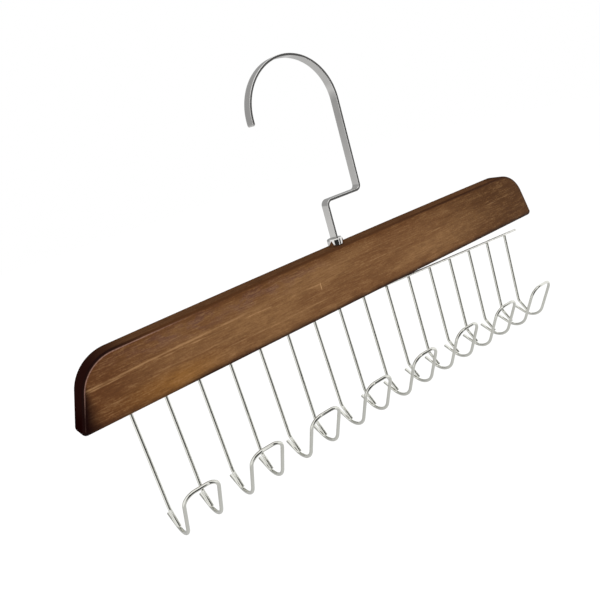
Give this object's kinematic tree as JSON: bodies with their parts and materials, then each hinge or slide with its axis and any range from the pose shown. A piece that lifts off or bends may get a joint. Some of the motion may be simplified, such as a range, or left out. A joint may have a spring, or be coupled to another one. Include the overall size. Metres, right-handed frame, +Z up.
{
  "type": "tie hanger",
  "caption": "Wooden tie hanger: flat bar on a flat-strip swivel hook, with wire legs below that carry double loops for ties, belts or straps.",
  "frame": {"origin": "centre of the hook's round top, on the axis of the rail that it hangs on, midway across the strip", "axes": "+X along the bar, towards the end where the leg rail hangs lower; the loops point towards -Y; +Z up along the hook's swivel axis"},
  "size_m": [0.354, 0.0387, 0.2203],
  "materials": {
    "stained_wood": "satin walnut stain with darker edges",
    "chrome_strip": "polished chrome plate on flat steel strip",
    "chrome_wire": "polished chrome plate on steel wire",
    "plain_steel": "plain zinc-plated steel"
  },
  "bodies": {
    "hook": {"swivel_hook": "chrome_strip", "collar_stud": "chrome_strip", "stud_nut": "plain_steel"},
    "bar": {"wood_bar": "stained_wood", "stud_washer": "plain_steel", "leg_rail": "chrome_wire", "leg_1": "chrome_wire", "leg_2": "chrome_wire", "leg_3": "chrome_wire", "leg_4": "chrome_wire", "leg_5": "chrome_wire", "leg_6": "chrome_wire", "leg_7": "chrome_wire", "leg_8": "chrome_wire", "leg_9": "chrome_wire", "leg_10": "chrome_wire", "leg_11": "chrome_wire", "leg_12": "chrome_wire", "leg_13": "chrome_wire", "leg_14": "chrome_wire", "leg_15": "chrome_wire", "leg_16": "chrome_wire", "loop_1": "chrome_wire", "loop_2": "chrome_wire", "loop_3": "chrome_wire", "loop_4": "chrome_wire", "loop_5": "chrome_wire", "loop_6": "chrome_wire", "loop_7": "chrome_wire", "loop_8": "chrome_wire"}
  },
  "joints": [
    {"name": "hook_swivel", "type": "hinge", "parent": "hook", "child": "bar", "pos_m": [0.0038, 0, -0.0814], "axis": [0, 0, 1], "continuous": true}
  ]
}
